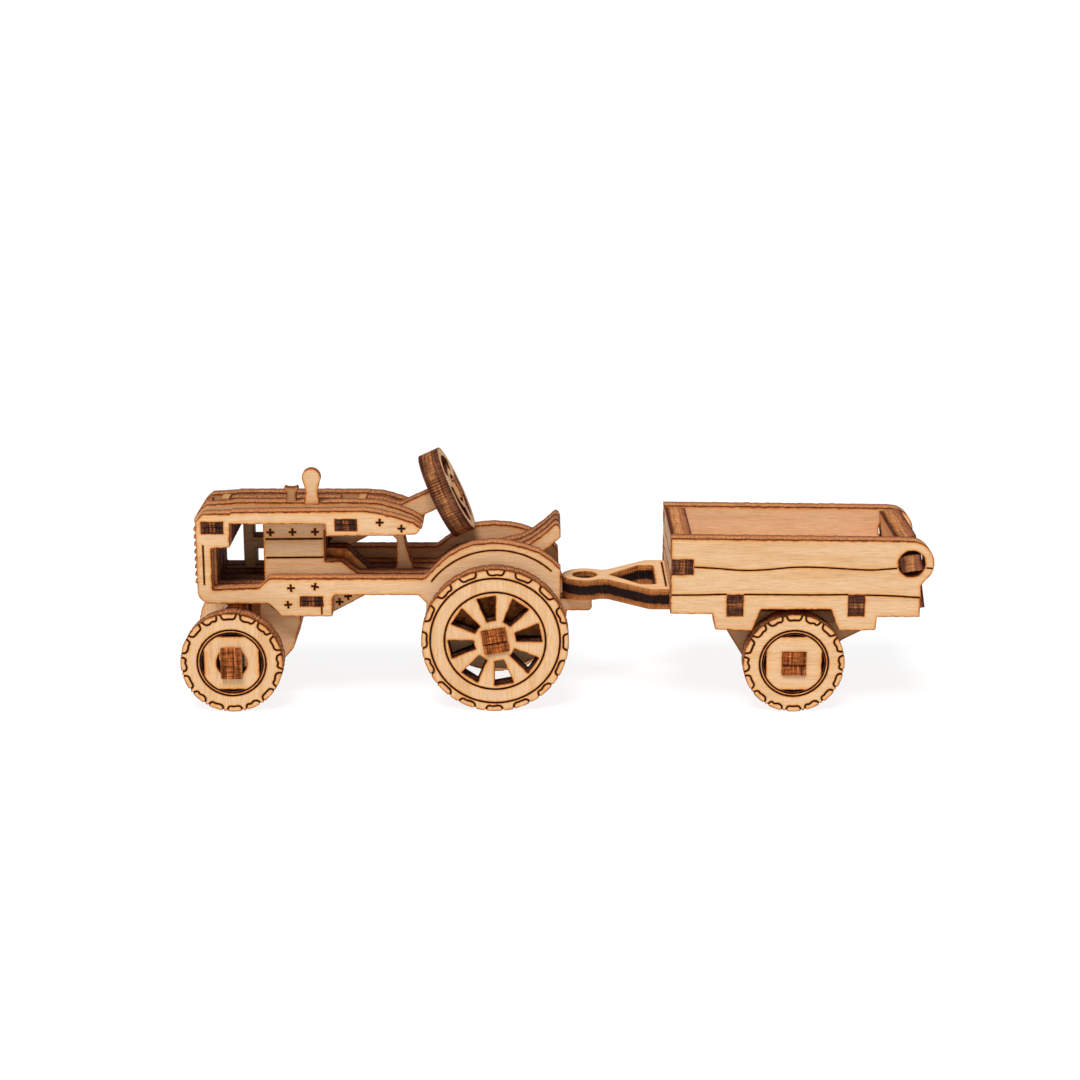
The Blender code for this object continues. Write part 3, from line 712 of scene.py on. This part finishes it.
def centre():
    c = math.cos(math.radians(STEER_LEAN))
    s = math.sin(math.radians(STEER_LEAN))

    def along(d, w):
        return (STEER_X + d * c - w * s, STEER_Z + d * s + w * c)

    line = grille_teeth() + INNER_NOSE + [(-64.2, 38.9)]
    line += [(-64.2, 37.2), (-60.9, 37.2), (-60.9, 39.2), (-59.3, 39.45)]
    line += [(-39.0, 39.45), (-39.0, 37.8), (-35.15, 37.8), (-35.15, 39.45), (-34.3, 39.45)]
    line += [(-30.85, 39.1), (-29.0, 38.55), along(-9.2, 1.85), along(2.55, 1.85)]
    line += [along(2.55, -1.85), along(-5.0, -1.85)]
    line += [(-24.8, 35.0), (-26.7, 32.0, 1.0), (-26.3, 30.0), (-24.9, 25.5), (-22.7, 25.3)]
    line += SEAT[:-1] + [(3.7, 24.2), (3.7, 19.2), (7.84, 19.2), (7.84, 21.8), (9.84, 21.8), (9.84, 19.2)]
    line += [(10.25, 19.2), (10.25, 16.7, 0.9), (3.7, 16.7)]
    line += INNER_LOBE[1:] + SUMP + CARRIER
    line += [(-54.0, 5.2), (-59.5, 4.2), (-63.0, 5.4), (-64.4, 8.5), (-64.0, 12.2, 0.6), (-61.85, 12.6, 0.3)]
    line += [(-61.85, 6.3), (-57.15, 6.3), (-57.15, 20.6), (-66.0, 20.6, 2.2), (-66.1, 22.9)]
    return fillet(line)


DASH_WINDOW = fillet([(-41.9, 34.1), (-41.9, 29.5), (-38.0, 29.5, 0.6), (-33.8, 25.4, 0.6), (-28.4, 25.5),
                      (-28.1, 26.4), (-28.1, 31.2), (-28.9, 32.0, 0.6), (-29.2, 34.1)])
NOSE_SLOT = box_loop(-65.1, -60.85, 34.45, 36.75)
HOOD_SLOT = box_loop(-39.35, -35.15, 35.05, 37.35)
SUMP_SLOT = box_loop(-46.45, -42.05, 19.95, 21.9)
REAR_HOLE = circle(REAR_X, REAR_R, 3.4, 32)
BODY_HOLES = [NOSE_SLOT, HOOD_SLOT, SUMP_SLOT, REAR_HOLE]
# Painted shade: the rear wheel's shadow on the cheeks behind it, darkest above the axle where the upper
# windows look onto it.
WHEEL_SOOT = (REAR_X, REAR_R, 13.0, 0.72, REAR_R - 1.5)

side_marks = [plus(-48.15, 23.6, tilt=4), plus(-43.5, 23.9, tilt=-10), plus(-48.8, 20.25, tilt=6),
              plus(-30.75, 36.7), plus(-26.6, 35.5)]
side_marks.append(ribbon([(-64.85, 24.2), (-64.85, 32.2)], 0.33))
side_marks.append(ribbon(arc(-8.45, 15.49, 15.69, 143.2, 47.0, 40), 0.33))
side_marks.append(ribbon(smooth([(-52.9, 20.45), (-52.2, 20.1), (-51.1, 18.95)]), 0.3))
side_marks.append(ribbon([(-42.3, 18.3), (-42.3, 19.85)], 0.28))
engine_marks = [plus(-52.3, 33.7), plus(-48.0, 33.75), plus(-43.6, 33.8)]
engine_marks.append(ribbon([(-53.3, 32.35), (-42.1, 32.45)], 0.36))
engine_marks.append(ribbon([(-53.3, 28.6), (-42.1, 28.7)], 0.36))
engine_marks += [plus(-39.2, 19.65), plus(-37.5, 20.8, tilt=5)]

# tone_and_shade paints shade per sheet here: the right-hand cheek and inner sheet, further back and in shade,
# are painted darker than the left-hand ones.
sheet("outer_cheek_left", [outer_left()] + BODY_HOLES, -10.0, -6.1, SIDE, "tractor", ["side_panel_left"],
      near=side_marks, char=0.1, tone_and_shade=0.62, wavy=0.06, painted_shade_patch=WHEEL_SOOT)
sheet("outer_cheek_right",
      [outer_right()] + BODY_HOLES + [nose_window(-59.2, -63.15, 23.7), box_loop(-57.2, -50.0, 29.6, 36.3),
                                      box_loop(-56.8, -50.0, 23.7, 27.2)],
      6.1, 10.0, SIDE, "tractor", ["side_panel_right"],
      far=side_marks, char=0.25, tone_and_shade=0.38, wavy=0.06, painted_shade_patch=WHEEL_SOOT)
sheet("inner_sheet_left", [inner_left()] + BODY_HOLES + [nose_window(-53.7)], -6.0, -2.05, SIDE, "tractor",
      ["engine_board_left"], near=engine_marks, char=0.2, tone_and_shade=0.42, wavy=0.06)
sheet("inner_sheet_right", [inner_right()] + BODY_HOLES + [nose_window(-53.7)], 2.05, 6.0, SIDE, "tractor",
      ["engine_board_right"], near=[plus(-41.85, 30.3, tilt=8)], char=0.4, tone_and_shade=0.27, wavy=0.06)
# The middle sheet's painted_shade_patch paints the shade that falls below the hood, beside the dash window.
sheet("middle_sheet", [centre()] + BODY_HOLES + [nose_window(-53.7), DASH_WINDOW], -1.95, 1.95, SIDE,
      "tractor", ["centre_board"], char=0.4, tone_and_shade=0.5, wavy=0.06, painted_shade_patch=(-39.5, 27.5, 6.0, 0.62, 20.0))

# cross pieces: bars whose slit ends show in the side panels


def bar(base, height, half=10.0):
    """End view of a bar, with a short slit across each end."""
    mid = base + 0.52 * height
    notch = half - 0.35
    right = [(half, base), (half, mid - 0.1), (notch, mid - 0.1), (notch, mid + 0.1), (half, mid + 0.1),
             (half, base + height)]
    return right + [(-y, z) for y, z in reversed(right)]


for tag, base, height, lo, hi in (("nose", 34.55, 2.1, -65.0, -60.95), ("hood", 35.15, 2.1, -39.25, -35.25),
                                  ("sump", 20.05, 1.75, -46.3, -42.2)):
    sheet(tag + "_bar", [bar(base, height)], lo, hi, CROSS, "tractor", [tag + "_crosspiece"], char=1.0,
          tone_and_shade=0.4, slot="burnt_ply_end")

# two low pads in the hood's middle channel, and the plates that stand on the left inner sheet
for tag, x in (("nose", -62.1), ("hood", -35.5)):
    sheet(tag + "_tooth", [box_loop(x, x + 1.7, -3.4, 0.8)], 39.3, 39.75, FLAT, "tractor", None, grain="v",
          char=0.35, tone_and_shade=0.25, halo=(0.1, 0.25), depth=0.1)
sheet("exhaust_plate", [exhaust_stack()], -6.03, -4.75, SIDE, "tractor", ["exhaust_stack"], char=0.45,
      tone_and_shade=0.62)
sheet("cap_plate", [filler_cap()], -4.63, -3.35, SIDE, "tractor", ["filler_cap"], char=0.75, tone_and_shade=0.12)

# front axle
half_axle = [(10.35, 6.6), (10.35, 7.9), (14.65, 7.9), (14.65, 6.6, 0.2), (15.6, 7.1, 0.2), (15.7, 9.9),
             (15.6, 12.7, 0.2), (14.65, 13.2, 0.2), (14.65, 11.9), (10.35, 11.9), (10.35, 13.2), (4.0, 13.2),
             (4.0, 20.25)]
axle_line = fillet(half_axle + [(-p[0],) + tuple(p[1:]) for p in reversed(half_axle)])
sheet("front_axle_beam", [axle_line], -61.5, -57.5, CROSS, "tractor", ["front_axle"], char=-1.0, tone_and_shade=0.3)


def tread(radius, phase, wave, size=1.55, line=0.38):
    """Engraved C-shaped tread blocks round a wheel's rim, each a little different."""
    groups = []
    for k in range(TREAD_BLOCKS):
        a0 = 360.0 * k / TREAD_BLOCKS + phase
        half = math.degrees(size / radius)
        r0 = radius - 1.1
        w = wave * (0.5 + 0.5 * math.sin(k * 2.4 + phase))
        lean = 0.25 * math.sin(k * 1.7)
        prof = [(-1.0, radius - 0.05), (-0.88, r0 + 0.25), (-0.62, r0), (-0.3, r0 + w),
                (0.0, r0 + 0.25 * w + lean * 0.2), (0.3, r0 - 0.4 * w), (0.62, r0), (0.88, r0 + 0.25),
                (1.0, radius - 0.05)]
        pts = []
        for f, r in prof:
            t = math.radians(a0 + f * half)
            pts.append((r * math.cos(t), r * math.sin(t)))
        groups.append(ribbon(smooth(pts, 1), line))
    return groups


def rim(radius, phase, steps=256, size=1.55):
    """Wheel outline with a tiny nick where each tread line meets the rim."""
    pts = []
    half = size / radius
    for k in range(steps):
        t = 2 * math.pi * k / steps
        r = radius - 0.01 - 0.01 * math.sin(29 * t)
        best = 9.0
        for j in range(TREAD_BLOCKS):
            for sgn in (-1, 1):
                a = 2 * math.pi * j / TREAD_BLOCKS + math.radians(phase) + sgn * half
                d = abs((t - a + math.pi) % (2 * math.pi) - math.pi)
                best = min(best, d)
        if best * radius < 0.22:
            r -= 0.16
        pts.append((r * math.cos(t), r * math.sin(t)))
    return pts


def segments(radius, flat, turn=0.0):
    """Four slots left between a round hole and the square that fills it."""
    loops = []
    half = math.degrees(math.acos(flat / radius))
    for k in range(4):
        loops.append(turned(arc(0.0, 0.0, radius, 90.0 * k - half, 90.0 * k + half, 12), turn))
    return loops


def wheel_plane(x, z):
    """The side view with its zero at a wheel's centre."""
    return Plane((D + x, 0, z), (1, 0, 0), (0, 0, 1), (0, 1, 0))


def leaning_plane(x, z, degrees):
    """The view along the tractor with its zero at (x, z), leaning forward from upright."""
    c = math.cos(math.radians(degrees))
    s = math.sin(math.radians(degrees))
    return Plane((D + x, 0, z), (0, 1, 0), (-s, 0, c), (c, 0, s))


def outside(sgn, marks):
    """Puts marks on a sheet's outer face only: the lo face on the left side, the hi face on the right."""
    return {"near": marks} if sgn < 0 else {"far": marks}


def square(side, turn):
    h = 0.5 * side
    return turned([(-h, -h), (h, -h), (h, h), (-h, h)], turn)


# front wheels
for sgn, tag, turn in ((-1, "left", 0.0), (1, "right", 45.0)):
    marks = tread(FRONT_R, 2.0 + turn, 0.22) + [ribbon(circle(0, 0, 6.62, 96), 0.37, True)]
    marks.append(ribbon(circle(0, 0, 6.07, 96), 0.33, True))
    lo, hi = sorted((sgn * 10.65, sgn * 14.6))
    sheet("front_tyre_" + tag,
          [rim(FRONT_R, 2.0 + turn), circle(0, 0, 2.95, 40)] + segments(5.86, 5.32, turn), lo, hi,
          wheel_plane(FRONT_X, FRONT_R), "front_wheel_" + tag, ["front_wheel_" + tag],
          grain="v", char=0.5, hole_char=1.0, tone_and_shade=0.62, **outside(sgn, marks))

# rear wheels: the windows are radial trapezoids
for sgn, tag in ((-1, "left"), (1, "right")):
    windows = []
    for k in range(8):
        trapezoid = fillet([(-0.87, 4.05, 0.12), (0.87, 4.05, 0.12), (1.88, 8.9, 0.15), (-1.88, 8.9, 0.15)])
        windows.append(turned(trapezoid, 11.0 + 45.0 * k))
    marks = tread(REAR_R, -0.8, 0.16, 1.72)
    marks += [ribbon(circle(0, 0, 12.52, 144), 0.38, True), ribbon(circle(0, 0, 9.75, 128), 0.38, True)]
    lo, hi = sorted((sgn * 10.35, sgn * 14.3))
    sheet("rear_tyre_" + tag, [rim(REAR_R, -0.8, 320, 1.72), square(4.62, 10.0)] + windows, lo, hi,
          wheel_plane(REAR_X, REAR_R), "rear_wheelset", ["rear_wheel_" + tag],
          grain="v", char=0.5, hole_char=1.0, tone_and_shade=0.62, **outside(sgn, marks))


def axle_bar(name, half_length, side, x, z, turn, body, replaces):
    """Square-ended axle cut from sheet, each end split by a saw line."""
    h = 0.5 * side
    slit = 0.16
    pts = []
    for end in (1, -1):
        e = end * half_length
        inner = end * (half_length - 6.0)
        rows = [(e, -h), (e, -0.35 - slit), (inner, -0.35 - slit), (inner, -0.35 + slit),
                (e, -0.35 + slit), (e, h)]
        pts += rows if end > 0 else rows[::-1]
    sheet(name, [pts], -h, h, leaning_plane(x, z, turn), body, replaces, char=-1.0, tone_and_shade=0.4,
          halo=(0.14, 0.4))


axle_bar("rear_axle_bar", 14.85, 4.5, REAR_X, REAR_R, 10.0, "rear_wheelset", ["rear_axle"])
axle_bar("trailer_axle_bar", 15.1, 4.4, CART_X, CART_R, 0.0, "trailer_wheelset", ["trailer_axle"])

# trailer wheels
for sgn, tag in ((-1, "left"), (1, "right")):
    marks = tread(CART_R, 1.0, 0.24) + [ribbon(circle(0, 0, 6.62, 96), 0.37, True)]
    marks.append(ribbon(circle(0, 0, 6.07, 96), 0.33, True))
    lo, hi = sorted((sgn * 10.7, sgn * 14.6))
    sheet("trailer_tyre_" + tag, [rim(CART_R, 1.0), square(4.55, 0.0)] + segments(5.86, 5.35), lo, hi,
          wheel_plane(CART_X, CART_R), "trailer_wheelset", ["trailer_wheel_" + tag],
          grain="u", char=0.45, hole_char=1.0, tone_and_shade=0.66, **outside(sgn, marks))

# steering wheel with a finely ridged rim
ridged = []
for k in range(576):
    t = 2 * math.pi * k / 576
    r = 8.62 + 0.15 * math.cos(96 * t) * (0.6 + 0.4 * math.sin(7 * t + 1.0))
    ridged.append((r * math.cos(t), r * math.sin(t)))
steer_loops = [ridged, circle(0, 0, 2.85, 32)]
for k in range(3):
    mid = 90.0 + 120.0 * k
    steer_loops.append(arc(0, 0, 6.9, mid - 48.0, mid + 48.0, 20)
                       + arc(0, 0, 4.3, mid + 44.0, mid - 44.0, 14))
sheet("steering_ring", steer_loops, -2.05, 2.05, leaning_plane(STEER_X, STEER_Z, STEER_LEAN),
      "steering_wheel", ["steering_wheel"], char=0.72, tone_and_shade=0.55)

# trailer floor and drawbar
eye = arc(HITCH_X, 0.0, 4.45, 52.0, 308.0, 40)
upper = [(13.2, 3.5, 3.0), (21.2, 10.6, 1.5), (35.85, 10.6), (35.85, 14.7), (38.85, 14.7), (38.85, 10.6),
         (59.1, 10.6), (59.1, 14.7), (62.1, 14.7), (62.1, 10.6), (69.5, 10.6)]
outline = fillet(eye + [(p[0], -p[1]) + tuple(p[2:]) for p in upper] + list(reversed(upper)))
triangle = fillet([(13.7, 0.0, 0.4), (19.7, -6.8, 0.8), (22.6, -6.8, 0.6), (22.6, 6.8, 0.6),
                   (19.7, 6.8, 0.8)])
score = [ribbon([(24.5, -8.4), (24.5, 9.2)], 0.36)]
sheet("drawbar_floor", [outline, circle(HITCH_X, 0.0, 2.35, 40), triangle], 19.5, 23.5, FLAT, "trailer",
      ["trailer_floor"], far=score, char=0.2, core=1.0, tone_and_shade=0.85, wavy=0.04, tabs=(1, TAB_START, 0.95))


def trailer_side():
    end = arc(GATE_X, GATE_Z, 4.3, 90.0, -30.0, 28)
    line = [(25.0, 34.7), (69.0, 34.2)] + end
    line += [(73.3, 26.2), (72.8, 25.5, 0.3), (72.8, 19.25), (64.6, 19.2, 0.3), (64.45, 16.6, 0.5),
             (57.4, 16.5)]
    line += [(55.75, 20.75, 0.5), (42.3, 20.75, 0.5), (40.75, 16.5), (33.6, 16.7, 0.5), (33.1, 19.8, 0.4),
             (25.0, 19.9)]
    line += [(25.0, 27.65), (29.2, 27.65), (29.2, 30.6), (25.0, 30.6)]
    return fillet(line)


side_loops = [trailer_side(), circle(GATE_X, GATE_Z, 2.6, 36), box_loop(35.8, 38.9, 19.4, 23.6),
              box_loop(59.05, 62.15, 19.4, 23.6)]
side_lines = [ribbon(smooth([(29.35, 29.15), (34.0, 28.9), (38.5, 28.45), (43.0, 28.6), (47.6, 29.1),
                             (51.5, 29.2), (57.0, 28.9), (63.2, 28.5), (66.5, 28.8), (68.1, 28.9)]), 0.30),
              ribbon(smooth([(73.6, 29.0), (74.2, 28.95), (74.9, 28.9)]), 0.30),
              ribbon(smooth([(25.15, 23.6), (30.0, 23.62), (35.7, 23.75)]), 0.32),
              ribbon(smooth([(39.0, 23.72), (45.0, 23.7), (51.5, 23.62), (59.0, 23.72)]), 0.32),
              ribbon(smooth([(62.25, 23.6), (66.5, 23.5), (72.7, 23.1)]), 0.32)]
# The right cheek is painted paler (tone_and_shade 1.0 against 0.56): painted light on its lit inner face.
for sgn, tag in ((-1, "left"), (1, "right")):
    lo, hi = sorted((sgn * 10.9, sgn * 14.75))
    sheet("trailer_cheek_" + tag, side_loops, lo, hi, SIDE, "trailer", ["trailer_side_" + tag], char=0.15,
          tone_and_shade=0.56 if sgn < 0 else 1.0, wavy=0.08, **outside(sgn, side_lines))

wall = [(10.6, 23.6), (10.6, 27.7), (14.7, 27.7), (14.7, 30.55), (10.6, 30.55), (10.6, 34.5)]
wall_marks = [ribbon(smooth([(-9.5, 26.4), (-5.0, 27.0), (0.0, 26.3), (5.0, 26.9), (9.5, 26.5)]), 0.32),
              ribbon(smooth([(-9.5, 30.6), (-4.0, 30.0), (1.0, 30.7), (6.0, 30.1), (9.5, 30.6)]), 0.32)]
sheet("front_board", [wall + [(-y, z) for y, z in reversed(wall)]], 25.05, 29.1, CROSS, "trailer",
      ["trailer_front_wall"], near=wall_marks, char=0.2, tone_and_shade=0.7, tabs=(0, TAB_START, 0.95))

hanger = fillet([(33.8, 19.2), (36.2, 15.3, 1.0), (39.2, 10.35, 1.0), (42.4, 6.8, 1.5), (45.5, 4.9, 2.0),
                 (49.0, 4.5, 3.0), (52.4, 5.3, 2.0), (55.0, 7.5, 1.5), (56.6, 10.8, 1.0), (58.6, 13.2, 1.0),
                 (62.1, 15.0, 1.0), (64.3, 16.2, 0.5), (64.3, 19.2)])
# Painted shade: the hangers stand in the shade under the trailer body, so their faces are painted almost
# black-brown (tone_and_shade 0.1) and their cut edges darker than laser char alone (char 0.7).
for sgn, tag in ((-1, "left"), (1, "right")):
    lo, hi = sorted((sgn * 6.6, sgn * 10.35))
    sheet("hanger_" + tag, [hanger, circle(CART_X, CART_R, 3.4, 32)], lo, hi, SIDE, "trailer",
          ["axle_hanger_" + tag], char=0.7, tone_and_shade=0.1)

# tailgate, hanging a little out of upright
half_gate = [(10.6, -10.3), (10.6, -1.55), (14.6, -1.55), (14.6, 1.55), (10.6, 1.55), (10.6, 4.3)]
gate_marks = [ribbon(smooth([(-9.5, -6.0), (-4.0, -6.5), (1.0, -5.9), (6.0, -6.4), (9.5, -6.0)]), 0.32),
              ribbon(smooth([(-9.5, -1.0), (-5.0, -0.5), (0.0, -1.1), (5.0, -0.6), (9.5, -1.0)]), 0.32)]
sheet("gate_board", [half_gate + [(-y, z) for y, z in reversed(half_gate)]], -2.0, 2.0,
      leaning_plane(GATE_X, GATE_Z, GATE_LEAN), "tailgate", ["tailgate"], far=gate_marks, char=0.35, tone_and_shade=0.6,
      tabs=(0, TAB_START, 0.5))

# ------------------------------------------------------------------ stage, light and camera
floor_mat, _, fb = new_material("studio_floor")
fb.inputs["Base Color"].default_value = (0.18, 0.18, 0.18, 1.0)
fb.inputs["Roughness"].default_value = 0.9
fb.inputs["Emission Color"].default_value = (1.0, 1.0, 1.0, 1.0)
fb.inputs["Emission Strength"].default_value = 0.86
mesh = bpy.data.meshes.new("studio_floor")
mesh.from_pydata([(-30, -30, 0), (30, -30, 0), (30, 30, 0), (-30, 30, 0)], [], [(0, 1, 2, 3)])
mesh.materials.append(floor_mat)
floor = bpy.data.objects.new("studio_floor", mesh)
bpy.context.scene.collection.objects.link(floor)

bpy.context.scene.view_settings.view_transform = "Standard"
world = bpy.data.worlds.new("studio")
world.use_nodes = True
world.node_tree.nodes["Background"].inputs[0].default_value = (1.0, 1.0, 1.0, 1.0)
world.node_tree.nodes["Background"].inputs[1].default_value = 0.30
bpy.context.scene.world = world


def sun(name, direction, strength, softness):
    data = bpy.data.lights.new(name, "SUN")
    data.energy = strength
    data.angle = math.radians(softness)
    light = bpy.data.objects.new(name, data)
    light.rotation_euler = Vector(direction).to_track_quat("-Z", "Y").to_euler()
    bpy.context.scene.collection.objects.link(light)


sun("key", (0.14, 0.48, -0.866), 2.7, 24.0)

camera_data = bpy.data.cameras.new("camera")
camera_data.lens = 73.73
camera_data.sensor_width = 36.0
camera_data.clip_start = 0.01
camera = bpy.data.objects.new("camera", camera_data)
camera.location = (D * MM, -0.42066, 0.14328)
camera.rotation_euler = (math.radians(75.0), 0.0, 0.0)
bpy.context.scene.collection.objects.link(camera)
bpy.context.scene.camera = camera
